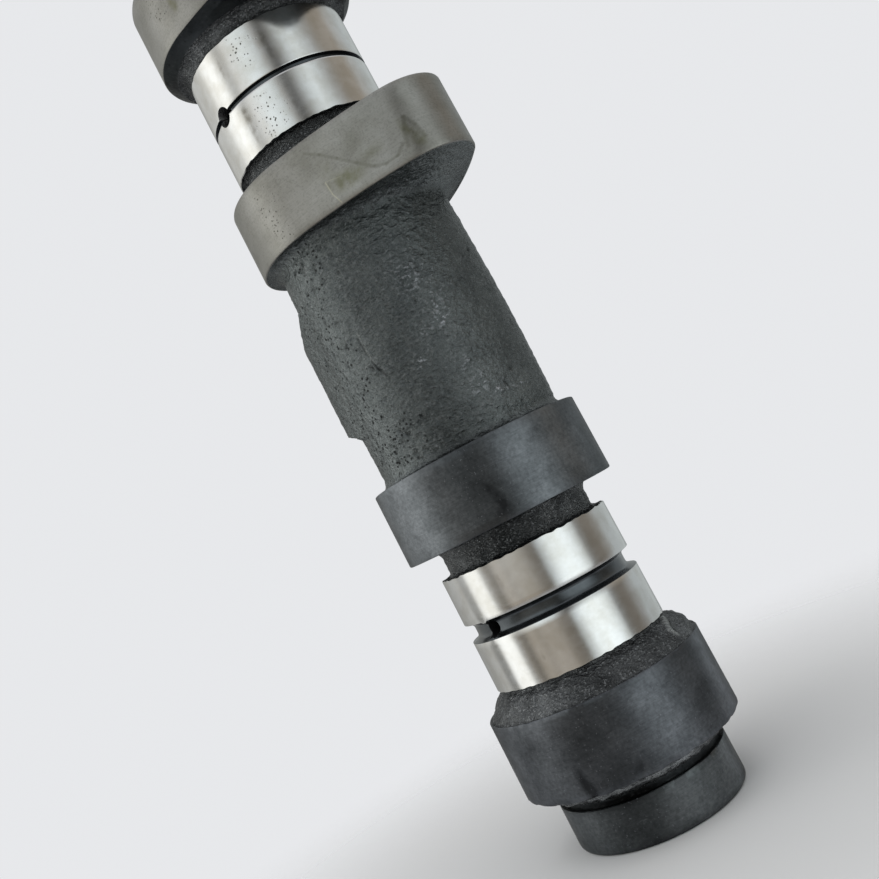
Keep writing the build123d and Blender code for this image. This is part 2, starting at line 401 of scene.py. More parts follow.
def bearing_with_groove(high, groove, depth, flatness, rows, beside):
    """A ground bearing up to its upper edge, with an oil groove turned into it."""
    groove_low, groove_high = groove
    middle, half = (groove_low + groove_high) / 2, (groove_high - groove_low) / 2
    straight("bright_bearing", BEARING_R, groove_low - 2.0, 2)
    straight("bright_bearing", BEARING_R, groove_low - EDGE / 2, beside)
    for s in range(rows * 2 + 1):
        across = -1 + s / rows
        drop = depth * (1 - abs(across) ** flatness)
        straight("groove_wall", BEARING_R - EDGE / 4 - drop, middle + half * across)
    straight("bright_bearing", BEARING_R, groove_high + EDGE / 2)
    straight("bright_bearing", BEARING_R, groove_high + 2.0, beside)
    straight("bright_bearing", BEARING_R, high - EDGE, 2)
    straight("bright_bearing", HIGH_EDGE_R, high)


straight("black_casting", cam(1) - 0.5, ragged_high + 0.08)
straight("black_casting", cam(1, 2.5), LOBE_1[1] + 2.45, 9)
straight("black_casting", 15.9, LOBE_1[1] + 2.75, 7)
straight("black_casting", VALLEY_R, LOBE_1[1] + 3.65, 4)
front_low = FRONT_BEARING[0] + uneven(0.16, 1.1, 4)
straight("black_casting", VALLEY_R, front_low - EDGE, 1)
onto_bearing(front_low)
front_high = FRONT_BEARING[1] + uneven(0.20, 1.1, 5)
bearing_with_groove(front_high, WIDE_GROOVE, 1.42, 5, 6, 2)
print("rings so far:", len(rings))

# %% [markdown]
# ## Neck and lobe 2
# Between the bearing and lobe 2 the casting is a rough neck, drawn in a little. The lobe's
# edges are only just broken, and over it the casting comes nearly to the lobe's own radius.

# %% Front neck and lobe 2
FRONT_NECK_R, SHAFT_R = 13.2, 16.1
straight("black_casting", 13.9, front_high + 0.1, 2)
bend("black_casting", FRONT_NECK_R, front_high + 0.7, 3, "across")
straight("black_casting", FRONT_NECK_R, LOBE_2[0] - 1.2, 8)
bend("black_casting", FRONT_NECK_R + 1.2, LOBE_2[0], 4)
straight("smooth_casting", cam(2) - 0.25, LOBE_2[0], 5)
bend("blued_lobe", cam(2), LOBE_2[0] + 0.25, 2, "across")
straight("blued_lobe", cam(2), LOBE_2[1] - 0.2, 10)
bend("blued_lobe", cam(2) - 0.2, LOBE_2[1], 2)
straight("blued_lobe", 17.75, LOBE_2[1] + uneven(0.05, 1.0, 6), 5)
bend("shaft_casting", SHAFT_R, LOBE_2[1] + 1.5, 5, "across")
print("rings so far:", len(rings))

# %% [markdown]
# ## The long shaft
# Over lobe 2 the shaft between the two cylinders begins. It is slightly barrelled, with a low
# pad cast on its left side, which is a flat-backed swelling with a short foot below and a long
# ramp above. A second mesh for the pad would show a seam, so each ring takes the larger of two
# radii, the barrel's and the pad's.

# %% Long shaft and its pad
SHAFT_SWELL, CORE_SHIFT, SHAFT_ROWS = 0.35, 0.2, 82
PAD_ANGLE, PAD_REACH, PAD_ROUND_R, PAD_ROOT_R = 166.0, 18.55, 9.2, 14.4
PAD_FOOT, PAD_STEP, PAD_RAMP, PAD_END = 74.8, 77.1, 92.8, 99.0


def pad_back(height):
    """How far out the pad's flat back may reach at a height."""
    heights = [PAD_FOOT, PAD_STEP, PAD_RAMP, PAD_END]
    return np.interp(height, heights, [PAD_ROOT_R, PAD_REACH, PAD_REACH, PAD_ROOT_R])


def shaft_ring(height):
    """The long shaft's radius at a height: a barrel cast a little off centre, and the pad."""
    middle = (LOBE_2[1] + LOBE_3[0]) / 2
    half = (LOBE_3[0] - LOBE_2[1]) / 2 - 1.5
    barrel = SHAFT_R + SHAFT_SWELL * (1 - ((height - middle) / half) ** 2)
    barrel = barrel + CORE_SHIFT * np.cos(turn)
    if not PAD_FOOT < height < PAD_END:
        return barrel
    off = np.radians((np.degrees(turn) - PAD_ANGLE + 180) % 360 - 180)
    tip_x = PAD_REACH - PAD_ROUND_R
    side = math.acos((SHAFT_R - PAD_ROUND_R) / tip_x)
    touch = math.atan2(PAD_ROUND_R * math.sin(side), tip_x + PAD_ROUND_R * math.cos(side))
    square = np.maximum(PAD_ROUND_R**2 - (tip_x * np.sin(off)) ** 2, 0)
    pad = np.where(
        np.abs(off) < touch,
        tip_x * np.cos(off) + np.sqrt(square),
        np.where(np.abs(off) < side, SHAFT_R / np.cos(np.abs(off) - side), 0),
    )
    return np.maximum(barrel, np.minimum(pad, pad_back(height) / np.maximum(np.cos(off), 0.1)))


for height in np.linspace(LOBE_2[1] + 1.5, LOBE_3[0] - 1.5, SHAFT_ROWS)[1:]:
    straight("shaft_casting", shaft_ring(height), height)
print("rings so far:", len(rings))

# %% [markdown]
# ## Lobe 3, the rear bearing and lobe 4
# The lobe's nose is carried by a fillet that thickens towards it. The neck above is cast, and
# the rear bearing has only a narrow oil groove. Under lobe 4 a flare widens to the lobe.

# %% Lobe 3
REAR_NECK_R = 13.9
nose_share = (cam(3) - BASE_R) / LIFT
bend("shaft_casting", 17.7 + 2.2 * nose_share, LOBE_3[0], 6)
straight("shaft_casting", cam(3) - 0.3, LOBE_3[0], 9)
bend("ground_lobe", cam(3), LOBE_3[0] + 0.3, 2, "across")
straight("ground_lobe", cam(3), LOBE_3[1] - 0.3, 12)
bend("ground_lobe", cam(3) - 0.3, LOBE_3[1], 2)
straight("smooth_casting", REAR_NECK_R + 1.2, LOBE_3[1], 9)
bend("black_casting", REAR_NECK_R, LOBE_3[1] + 1.2, 4, "across")
print("rings so far:", len(rings))

# %% Rear bearing and lobe 4
rear_low = REAR_BEARING[0] + uneven(0.20, 1.1, 7)
straight("black_casting", REAR_NECK_R, rear_low - 0.3, 7)
bend("black_casting", 14.6, rear_low - 0.05, 2)
onto_bearing(rear_low)
rear_high = REAR_BEARING[1] + uneven(0.14, 1.1, 8)
bearing_with_groove(rear_high, NARROW_GROOVE, 0.75, 9, 3, 6)
straight("black_casting", 14.7, rear_high + 0.35, 1)
bend("black_casting", 16.6, LOBE_4[0] - 1.9, 7)
straight("smooth_casting", cam(4, 1.25) - 0.1, LOBE_4[0] - 1.25, 8)
straight("smooth_casting", cam(4) - 0.1, LOBE_4[0] - 0.1, 4)
straight("ground_lobe", cam(4), LOBE_4[0] + 0.1)
straight("ground_lobe", cam(4), LOBE_4[1] - 0.3, 10)
bend("ground_lobe", cam(4) - 0.3, LOBE_4[1], 2)
straight("smooth_casting", REAR_NECK_R + 1.2, LOBE_4[1], 8)
print("rings so far:", len(rings))

# %% [markdown]
# ## Drive end
# The photograph stops at lobe 4. Past it the shaft ends plainly: a neck, one more bearing and a
# turned end face with the mouth of the oil gallery, which is drilled down the middle.

# %% Drive end
END_ROUND, MOUTH_R, MOUTH_DEPTH, GALLERY_BOTTOM, GALLERY_POINT = 0.9, 4.0, 1.73, 31.15, 1.8
bend("black_casting", REAR_NECK_R, LOBE_4[1] + 1.2, 4, "across")
end_low = END_BEARING[0] + uneven(0.16, 1.1, 9)
straight("black_casting", REAR_NECK_R, end_low - 0.05, 7)
onto_bearing(end_low, 2)
straight("bright_bearing", BEARING_R, END_BEARING[1] - END_ROUND, 6)
straight("turned_end", BEARING_R - END_ROUND, END_BEARING[1], 3)
straight("turned_end", MOUTH_R, END_BEARING[1], 24)
straight("turned_end", GALLERY_R, END_BEARING[1] - MOUTH_DEPTH, 3)
straight("drilled", GALLERY_R, GALLERY_BOTTOM, 5)
straight("drilled", POINT_R, GALLERY_BOTTOM - GALLERY_POINT, 1)
print("rings:", len(rings), "triangles:", 2 * COLUMNS * (len(rings) - 1))

# %% [markdown]
# ## Cast skin
# Sand leaves lumps of its own grain on iron. A Displace modifier could add them, but each band
# has its own grain here and the ground bands have none, so the points are moved by noise worked
# out in space: it has no seam round the shaft. The space is flattened a little, because the
# lumps are longer round the shaft than along it. Points move inwards or a hair outwards only.

# %% Points and the way outwards
radii = np.array([radius for radius, height in rings])
heights = np.array([height for radius, height in rings])
points = np.stack([radii * np.cos(turn), radii * np.sin(turn), heights], axis=-1)

along = np.gradient(points, axis=0)
around = np.roll(points, -1, axis=1) - np.roll(points, 1, axis=1)
outward = np.cross(around, along)
outward /= np.maximum(np.linalg.norm(outward, axis=-1, keepdims=True), 1e-9)
print("points:", points.shape[0] * points.shape[1])

# %% Roughen the castings
# lumps as (grain across, depth) in millimetres, the larger first
CAST_LUMPS = {
    "black_casting": [(1.6, 0.16), (0.75, 0.15)],
    "shaft_casting": [(3.0, 0.06), (1.1, 0.13)],
    "smooth_casting": [(2.5, 0.05)],
}
FLATTEN = np.array([1.0, 1.0, 1.4])
# taken off the noise, so that most of the lumps are hollows
SINK = 0.35


def ring_lumps(index):
    """The lumps a ring may have: only where the bands on both sides of it are cast alike."""
    below = ring_finish[max(index - 1, 0)]
    above = ring_finish[min(index, len(ring_finish) - 1)]
    return CAST_LUMPS.get(below, []) if below == above else []


moved = np.zeros(radii.shape)
for row in range(len(rings)):
    for seed, (grain, depth) in enumerate(ring_lumps(row)):
        for column in range(COLUMNS):
            spot = Vector(points[row, column] * FLATTEN / grain) + Vector((seed * 31.7, 0, 0))
            moved[row, column] += depth * (noise.noise(spot) - SINK)
print("cast skin moves by", round(moved.min(), 3), "to", round(moved.max(), 3), "mm")

# %% [markdown]
# ## Knocks and pits
# Handling leaves dents in the edges of the lobes, gas leaves pits in the casting, and the mould
# leaves a shallow oval on the shaft and a ridge and a lump at the end of lobe 1's flank. They
# could be sculpted by hand. Here each is a small bell shape pressed into the points, or raised
# where its depth is below 0, so one helper does for all of them.

# %% Knocks
COLUMN_ANGLES = (np.degrees(turn) + 180) % 360 - 180


def bell(angle, height, around_mm, along_mm, tilt=0.0):
    """A soft spot from 1 at an angle and height down to 0, of half widths in millimetres."""
    off = (COLUMN_ANGLES - angle + 180) % 360 - 180
    across = np.radians(off) * radii
    up = heights - height
    lean = math.radians(tilt)
    first = (across * math.cos(lean) + up * math.sin(lean)) / around_mm
    second = (up * math.cos(lean) - across * math.sin(lean)) / along_mm
    return np.exp(-(first**2 + second**2))


# depth of the dent, then its angle, height, half widths round and along the shaft, and tilt
KNOCKS = [
    (0.30, -118, 12.4, 0.45, 1.9, 8), (0.26, -92, 11.6, 0.9, 0.5, -35),
    (0.18, -66, 10.6, 0.8, 0.35), (0.16, -141, 10.8, 0.6, 0.3), (0.12, -107, 11.0, 0.5, 0.4),
    (-0.36, -19, 27.4, 1.3, 0.35, 20), (-0.42, -26, 26.9, 1.3, 0.36, 15),
    (-0.46, -33, 26.1, 1.0, 0.40, 32), (-0.46, -35.5, 25.2, 0.45, 0.6),
    (-0.32, -31, 24.6, 1.0, 0.35, -8), (0.60, -20, 25.8, 2.4, 0.8),
    (-0.65, 3, 26.2, 3.4, 0.8), (-0.75, 3, 25.0, 3.4, 0.65),
    (-0.40, -155, 146.0, 1.6, 0.35, -18), (0.10, -70, 52.4, 0.7, 0.3), (0.10, -95, 52.4, 0.5, 0.3),
    (0.24, -117.2, 82.2, 0.28, 1.4, -28), (0.16, -120.8, 86.8, 0.30, 2.4, -4),
    (-0.10, -119.0, 86.0, 0.40, 3.4, -6), (-0.12, -110.0, 92.4, 2.6, 0.40, 8),
    (0.12, -110.0, 91.6, 2.4, 0.35, 8), (0.07, -98, 86.0, 0.5, 3.0), (0.10, -108, 87.0, 3.4, 4.4),
]
for depth, *spot in KNOCKS:
    moved -= depth * bell(*spot)
print("knocks:", len(KNOCKS))

# %% Pits
PIT_COUNT, LEFT_SHARE = 220, 0.7
# pits deeper than this get painted shade, and are darkened by this much
SHADED_PIT_DEPTH, PIT_SHADE_STRENGTH = 0.22, 0.55
shaded_pits = np.zeros(radii.shape)
dice = np.random.default_rng(41)
for pit in range(PIT_COUNT):
    left_side = pit < PIT_COUNT * LEFT_SHARE
    angle = dice.uniform(-172, -108) if left_side else dice.uniform(-108, 180)
    height = dice.uniform(67.5, 105.0) if pit % 3 else dice.uniform(67.0, 73.0)
    width = dice.uniform(0.18, 0.42)
    depth = dice.uniform(0.10, 0.32)
    pit_shape = bell(angle, height, width, width * dice.uniform(0.7, 1.5))
    moved -= depth * pit_shape
    shaded_pits += (depth > SHADED_PIT_DEPTH) * PIT_SHADE_STRENGTH * pit_shape
points += outward * moved[..., None]
print("pits:", PIT_COUNT)

# %% [markdown]
# ## Stains, scuffs, and painted light and shade
# Oil, fingers and the wash leave dark smears, and rubbing leaves pale scuffs. Some scuffs are a
# painted sheen where the highlights fall, and the deeper pits get painted shade. Broad areas of
# the coat and the casting are painted lighter and darker as painted light and shade. All this
# could be painted in a picture, but a number kept on every point of the mesh needs none: each
# mark is a soft spot added to such a number, and the finishes read it later by name.

# %% Smears, and scuffs partly painted as sheen
# strength of the mark, then its angle, height, half widths round and along the shaft, and tilt
SMEARS = [
    (1.0, -92, 56.0, 0.8, 3.4, 20), (0.7, -94, 53.6, 1.6, 1.2), (0.5, -60, 62.0, 2.0, 1.5, 30),
    (1.0, -118, 12.8, 0.9, 2.6, 8), (1.0, -117, 12.2, 0.7, 1.6, 8),
    (0.7, -92, 12.2, 0.9, 1.2, -30), (0.4, -136, 20.0, 4.0, 3.0),
    (0.9, -60, 111.8, 0.8, 2.2, 14), (0.8, -58, 109.6, 1.1, 1.2, -20),
    (0.85, -85, 110.2, 2.8, 1.5), (0.5, -72, 112.0, 2.2, 1.6, 30),
    (0.35, -92, 113.5, 2.5, 3.0), (0.8, -123, 153.5, 0.7, 1.8, 20), (0.35, -118, 155.0, 2.0, 3.0),
    (0.8, -122, 128.5, 0.7, 3.0), (0.9, -122, 139.5, 0.6, 2.2, 6), (0.7, -121, 132.0, 0.9, 0.9),
    (0.9, -88, 141.0, 0.7, 1.2), (0.8, -88, 137.5, 0.6, 1.4), (0.7, -89, 129.0, 0.7, 1.8),
    (0.8, -114, 43.8, 0.5, 1.4, 10), (0.6, -110, 42.0, 0.8, 0.9), (0.5, -112, 31.5, 0.6, 2.2, -8),
    (0.4, -102, 34.0, 1.2, 1.2), (0.5, -60, 33.5, 0.5, 1.5), (0.5, 40, 132.0, 1.5, 3.0, 20),
    (0.5, 110, 138.0, 1.0, 4.0), (0.6, 70, 36.0, 1.5, 3.0, 15), (0.5, 150, 42.0, 1.2, 2.0),
    (0.6, 20, 158.0, 2.0, 2.0, 30), (0.5, 140, 112.0, 4.0, 1.5), (0.6, 60, 176.0, 1.2, 4.0, 12),
    (0.5, -60, 180.0, 1.0, 3.0), (0.5, 170, 172.0, 2.0, 1.5), (0.5, 100, 60.0, 3.0, 2.0, 30),
]
# scuffs, partly painted sheen: those in the bright bands of lobes 1 and 2 and the cluster on the
# shaft are painted highlights and glints
SCUFFS_AND_SHEEN = [
    (0.8, -27, 17.5, 0.5, 3.2, 12), (0.5, -30, 55.5, 2.2, 2.0), (0.18, -66, 57.0, 3.0, 1.6, 20),
    (0.2, -72, 54.5, 2.0, 1.0), (0.2, -70, 17.0, 3.5, 1.2, 25), (0.35, -50, 14.0, 2.5, 1.0),
    (0.5, -133, 4.0, 1.2, 1.0, 30), (0.6, -118, 3.4, 2.0, 0.7), (0.6, -104, 3.8, 1.6, 1.0, -20),
    (0.5, -86, 4.2, 1.5, 0.8),
    (0.4, 60, 4.0, 3.0, 1.0), (0.4, 150, 18.0, 3.0, 2.0, 30), (0.5, 75, 14.0, 2.0, 3.0),
    (0.7, -72, 86.4, 1.6, 2.4), (0.9, -74, 84.6, 1.2, 0.9), (0.8, -85, 83.8, 0.9, 0.7),
    (0.9, -94, 80.0, 1.4, 0.7, 20), (0.7, -71, 72.8, 1.8, 1.2), (0.9, -61, 71.0, 1.6, 0.8),
    (0.8, -48, 70.2, 1.4, 0.7), (0.5, -72, 76.5, 1.4, 2.0), (0.5, -78, 93.0, 2.2, 3.0),
]
print("smears:", len(SMEARS), "scuffs:", len(SCUFFS_AND_SHEEN))

# %% Painted light and shade, and pitted patches
# painted light and shade over broad areas, given the same way: a share lighter, or darker where it
# is below 0
PAINTED_LIGHT_AND_SHADE = [
    (-0.36, -106, 17.5, 4.6, 14), (0.75, -69, 17.5, 4.6, 14), (0.50, -155, 17.5, 3.5, 14),
    (1.30, -27, 17.5, 3.0, 14), (-0.45, -99, 58.5, 4.6, 14), (0.34, -152, 58.5, 6.0, 14),
    (0.45, -50, 58.5, 7.0, 14), (-0.28, -107, 4.0, 4.0, 6.5), (0.75, -68, 4.0, 4.6, 6.5),
    (0.70, -150, 4.0, 4.0, 6.5), (1.10, -32, 4.0, 4.0, 6.5), (0.85, -152, 86.0, 8.5, 60),
    (-0.18, -104, 86.0, 6.0, 60), (0.15, -70, 80.0, 4.0, 20), (0.70, -122, 26.0, 6.0, 3.0),
    (0.40, -55, 50.0, 7.0, 1.5), (0.40, -150, 50.0, 4.0, 1.5), (1.20, -128, 146.0, 6.0, 1.5),
    (2.80, -120, 9.7, 5.0, 0.9), (2.60, -78, 9.7, 8.0, 0.9), (1.20, -35, 107.2, 14.0, 0.5),
    (-0.95, -110, 7.8, 80.0, 0.5), (-0.40, -72, 25.6, 6.5, 2.6), (0.45, -125, 24.6, 7.0, 1.2),
    (0.80, -60, 9.9, 6.0, 0.6),
]
PITTED = [
    (0.9, -148, 80.0, 7.0, 12.0), (0.8, -140, 71.0, 9.0, 4.0), (0.9, -135, 103.0, 6.0, 3.5),
    (0.8, -150, 97.0, 5.0, 6.0), (0.5, 60, 84.0, 9.0, 14.0),
    (1.0, -108, 129.0, 2.6, 3.2), (0.9, -102, 141.5, 2.4, 2.0), (0.7, -97, 127.0, 1.6, 1.4),
    (0.8, -113, 142.5, 2.0, 1.6), (0.7, -128, 113.0, 3.0, 6.0), (0.6, -134, 156.0, 3.0, 4.0),
    (0.6, 30, 138.0, 3.0, 2.0), (0.5, 120, 34.0, 2.5, 2.0), (0.6, 10, 178.0, 2.5, 3.0),
    (0.5, -110, 174.0, 2.5, 3.0), (0.6, 90, 116.0, 4.0, 3.0),
]
print("tones:", len(PAINTED_LIGHT_AND_SHADE), "pitted patches:", len(PITTED))

# %% Marks for every point


def together(spots):
    """All the soft spots of a list added up, for every point."""
    return sum(strength * bell(*spot) for strength, *spot in spots)


marks = {
    # smears, with the painted shade of the deeper pits added
    "smear_and_pit_shade": np.minimum(np.minimum(together(SMEARS), 1.0) + shaded_pits, 1.0),
    # scuffs, partly painted sheen and glints
    "scuff_and_sheen": np.minimum(together(SCUFFS_AND_SHEEN), 1.0),
    "pitted": np.minimum(together(PITTED), 1.0),
    # painted light and shade over broad areas
    "light_and_shade": np.maximum(1 + together(PAINTED_LIGHT_AND_SHADE), 0.05),
}
print("marks:", ", ".join(marks))

# %% [markdown]
# ## The mesh
# The rings become one mesh of four-sided faces. Each face takes the finish of its band, and the
# layout of angle against height is kept as a UV map, so that a scratch can be placed by it.

# %% Build the mesh
FINISH_NAMES = [
    "bright_bearing", "ground_lobe", "blued_lobe", "front_lobe", "smooth_end",
    "shaft_casting", "black_casting", "smooth_casting", "groove_wall", "drilled", "turned_end",
]
row_count = len(rings)
corner = np.arange(row_count * COLUMNS).reshape(row_count, COLUMNS)
beside = np.roll(corner, -1, axis=1)
faces = np.stack([corner[:-1], beside[:-1], beside[1:], corner[1:]], axis=-1).reshape(-1, 4)
shell = bpy.data.meshes.new("camshaft_shell")
shell.from_pydata((points.reshape(-1, 3) * MM).tolist(), [], faces.tolist())
finish_of_face = np.repeat([FINISH_NAMES.index(name) for name in ring_finish], COLUMNS)
shell.polygons.foreach_set("material_index", finish_of_face.astype(np.int32))
camshaft = bpy.data.objects.new("camshaft_skin", shell)
bpy.context.scene.collection.objects.link(camshaft)
print("mesh:", len(shell.vertices), "points,", len(shell.polygons), "faces")

# %% Lay out the UV map and keep the marks
layout = shell.uv_layers.new(name="angle_and_height")
column_of = np.tile(np.arange(COLUMNS), row_count - 1)
left, right = turn[column_of] / (2 * np.pi), turn[(column_of + 1) % COLUMNS] / (2 * np.pi)
right = np.where(right < left, right + 1, right)
face_rows = np.arange(row_count - 1).repeat(COLUMNS)
low_edge = heights[face_rows, column_of] / END_BEARING[1]
high_edge = heights[face_rows + 1, column_of] / END_BEARING[1]
uv = np.stack([left, low_edge, right, low_edge, right, high_edge, left, high_edge], axis=-1)
layout.data.foreach_set("uv", uv.reshape(-1))
for name, values in marks.items():
    shell.attributes.new(name, "FLOAT", "POINT").data.foreach_set("value", values.reshape(-1))
shell.update()
print("numbers kept on each point:", len(marks))

# %% [markdown]
# ## Drilled holes
# Two oil holes run from the grooves into the gallery, and the drive end has three screw holes
# and a dowel hole. A boolean would leave thin slivers in so fine a mesh. Instead the points
# inside each circle are taken out, the rim that is left is drawn onto the circle, and the rim is
# pulled down to make the wall.

# %% A helper that drills
DRILLED, COUNTERSUNK = FINISH_NAMES.index("drilled"), FINISH_NAMES.index("turned_end")
# how near the mouth a hole's rim is looked for, up or down and round about, and its small lip
RIM_RISE, RIM_REACH, LIP = 2.5, 1.0, 0.05


def drill(work, mouth, out, radius, steps):
    """A round hole at a mouth, square to the out direction, by (narrowing, drop, finish) steps."""
    wall = steps[0][2]
    side = out.cross(Vector((0, 0, 1))) if abs(out.z) < 0.5 else Vector((1, 0, 0))
    side.normalize()
    other = out.cross(side)

    def flat(vert):
        arm = vert.co / MM - mouth
        return Vector((arm.dot(side), arm.dot(other))), arm.dot(out)

    def near(vert, reach):
        spot, rise = flat(vert)
        return abs(rise) < RIM_RISE and spot.length < reach

    inside = [vert for vert in work.verts if near(vert, radius)]
    bmesh.ops.delete(work, geom=inside, context="VERTS")
    rim = []
    for edge in work.edges:
        if edge.is_boundary and all(near(vert, radius + RIM_REACH) for vert in edge.verts):
            rim.append(edge)
    for vert in {vert for edge in rim for vert in edge.verts}:
        spot, rise = flat(vert)
        wanted = spot.normalized() * radius
        vert.co += (side * (wanted.x - spot.x) + other * (wanted.y - spot.y)) * MM
    for share, drop, finish in ((1.0, LIP, wall), *steps):
        made = bmesh.ops.extrude_edge_only(work, edges=rim)["geom"]
        for vert in (g for g in made if isinstance(g, bmesh.types.BMVert)):
            spot, rise = flat(vert)
            vert.co -= (side * spot.x + other * spot.y) * (1 - share) * MM + out * drop * MM
        rim = [g for g in made if isinstance(g, bmesh.types.BMEdge) and g.is_boundary]
        for face in (g for g in made if isinstance(g, bmesh.types.BMFace)):
            face.material_index = finish
    for face in bmesh.ops.edgeloop_fill(work, edges=rim)["faces"]:
        face.material_index = DRILLED
    return len(inside)


# %% Close the ends and drill
OIL_ANGLE = math.radians(-140)
OIL_OUT = Vector((math.cos(OIL_ANGLE), math.sin(OIL_ANGLE), 0))
OIL_R, SINK_R, SINK_DEPTH = 1.3, 1.75, 1.4
GROOVE_FLOOR_R, SCREW_CIRCLE_R, SHARP_ANGLE = 13.6, 10, math.radians(38)
# the angle, radius and depth of the three screw holes and the dowel hole
END_HOLES = [(0, 2.5, 14), (120, 2.5, 14), (240, 2.5, 14), (60, 2.0, 8)]

work = bmesh.new()
work.from_mesh(shell)
work.verts.ensure_lookup_table()
for first in (COLUMNS * (row_count - 1), 0):
    ends = [work.verts[first + column] for column in range(COLUMNS)]
    middle = sum((vert.co for vert in ends), Vector()) / COLUMNS
    bmesh.ops.pointmerge(work, verts=ends, merge_co=middle)
    work.verts.ensure_lookup_table()
bmesh.ops.recalc_face_normals(work, faces=work.faces[:])
in_wide_groove = OIL_OUT * GROOVE_FLOOR_R + Vector((0, 0, sum(WIDE_GROOVE) / 2))
taken = drill(work, in_wide_groove, OIL_OUT, OIL_R, [(1, 10.0, DRILLED)])
in_narrow_groove = OIL_OUT * BEARING_R + Vector((0, 0, sum(NARROW_GROOVE) / 2))
countersunk = [(0.74, SINK_DEPTH, COUNTERSUNK), (1, 9.5, DRILLED)]
taken += drill(work, in_narrow_groove, OIL_OUT, SINK_R, countersunk)
for angle, radius, depth in END_HOLES:
    round_by = math.radians(angle)
    across = (SCREW_CIRCLE_R * math.cos(round_by), SCREW_CIRCLE_R * math.sin(round_by))
    mouth = Vector((*across, END_BEARING[1]))
    taken += drill(work, mouth, Vector((0, 0, 1)), radius, [(1, depth, DRILLED)])
bmesh.ops.recalc_face_normals(work, faces=work.faces[:])
work.to_mesh(shell)
work.free()
shell.shade_smooth()
shell.set_sharp_from_angle(angle=SHARP_ANGLE)
print("points drilled out:", taken, "faces now:", len(shell.polygons))

# %% [markdown]
# ## How a finish is made
# Every finish starts from one metal shader. Its colour varies with cloudy noise at a size given
# in millimetres, and its surface gets bumps from finer noise. Noise in the object's own space
# has no seam, and stretched along the shaft it turns into streaks.

# %% Finish helpers
finishes = {}


def start_finish(name, metallic, edge=1.0):
    """A new metal with its node tree and its shader; edge is its shine at a glancing angle."""
    material = bpy.data.materials.new(name)
    material.use_nodes = True
    finishes[name] = material
    tree = material.node_tree
    shader = tree.nodes["Principled BSDF"]
    shader.inputs["Metallic"].default_value = metallic
    shader.inputs["Specular Tint"].default_value = (edge, edge, edge, 1.0)
    return tree, shader


def cloud(tree, size, detail=3.0, stretch=(1, 1, 1), rough=0.55):
    """Soft noise from 0 to 1, with clouds of a size in millimetres."""
    where = put(tree, "TexCoord").outputs["Object"]
    scale = tuple(1 / (size * MM * s) for s in stretch)
    where = put(tree, "Mapping", {"Vector": where, "Scale": scale}).outputs[0]
    inputs = {"Vector": where, "Scale": 1.0, "Detail": detail, "Roughness": rough}
    return put(tree, "TexNoise", inputs).outputs["Fac"]


def bump(tree, height, distance, under=None):
    """Bumps of a depth in millimetres, over other bumps if there are some."""
    inputs = {"Height": height, "Distance": distance * MM, "Strength": 1.0}
    if under is not None:
        inputs["Normal"] = under
    return put(tree, "Bump", inputs).outputs["Normal"]


def connect(tree, shader, **sockets):
    """Links results to the shader's inputs; an underscore stands for a space."""
    for name, value in sockets.items():
        tree.links.new(value, shader.inputs[name.replace("_", " ")])


# %% [markdown]
# ## Laying colours over one another
# A finish is built up as it came to be: the metal's colour first, then streaks that shade it,
# then dirt and wear laid over it wherever the mesh keeps a number for them. A smear with a clean
# edge looks painted, so it is broken up by noise first.

# %% Layer helpers


def mark(tree, name):
    """One of the numbers kept on the mesh's points."""
    return put(tree, "Attribute", attribute_name=name).outputs["Fac"]


def shade(tree, base, factor):
    """A colour made lighter or darker by a factor."""
    return blend(tree, 1.0, base, factor, "MULTIPLY")


def over(tree, fac, base, colour):
    """A colour laid over another one by a factor."""
    return blend(tree, fac, base, (*colour, 1.0))


def broken_mark(tree, name, stops, size, detail=4, stretch=(1, 1, 1)):
    """A mark broken up by clouds of a size, through a ramp."""
    broken = calculate(tree, "MULTIPLY", mark(tree, name), cloud(tree, size, detail, stretch))
    return ramp(tree, broken, stops)


# %% [markdown]
# ## Pitted patches
# Fine pits stand in patches. A picture of pits would repeat, so they come from scattered points:
# near each is a hole, noise makes its edge ragged, and only pitted patches keep their holes.

# %% Pits in a finish


def cells(tree, size):
    """Distance from the nearest of many scattered points about a size apart."""
    where = put(tree, "TexCoord").outputs["Object"]
    inputs = {"Vector": where, "Scale": 1 / (size * MM), "Randomness": 1.0}
    return put(tree, "TexVoronoi", inputs).outputs["Distance"]


def pits(tree, size):
    """1 in small ragged pits about a size apart, where the mesh says that it is pitted."""
    ragged = cloud(tree, size * 0.6, 3)
    holes = calculate(tree, "MULTIPLY_ADD", ragged, 0.55, cells(tree, size))
    holes = ramp(tree, holes, [(0.46, 1.0), (0.54, 0.0)])
    patchy = calculate(tree, "MULTIPLY_ADD", cloud(tree, size * 2.5, 2), 1.6, -0.40)
    where = calculate(tree, "MULTIPLY", mark(tree, "pitted"), patchy)
    where = ramp(tree, where, [(0.10, 0.0), (0.20, 1.0)])
    return calculate(tree, "MULTIPLY", holes, where)


def sunk(tree, holes, depth, under):
    """Bumps that sink where there are holes, over other bumps."""
    return bump(tree, calculate(tree, "MULTIPLY", holes, -1.0), depth, under)


# %% [markdown]
# ## Bright ground bearings
# Grinding and lapping leave a bright surface that still blurs what it mirrors. Its colour is
# iron's own, with faint stains, a few smears and patches of tiny dark pits.

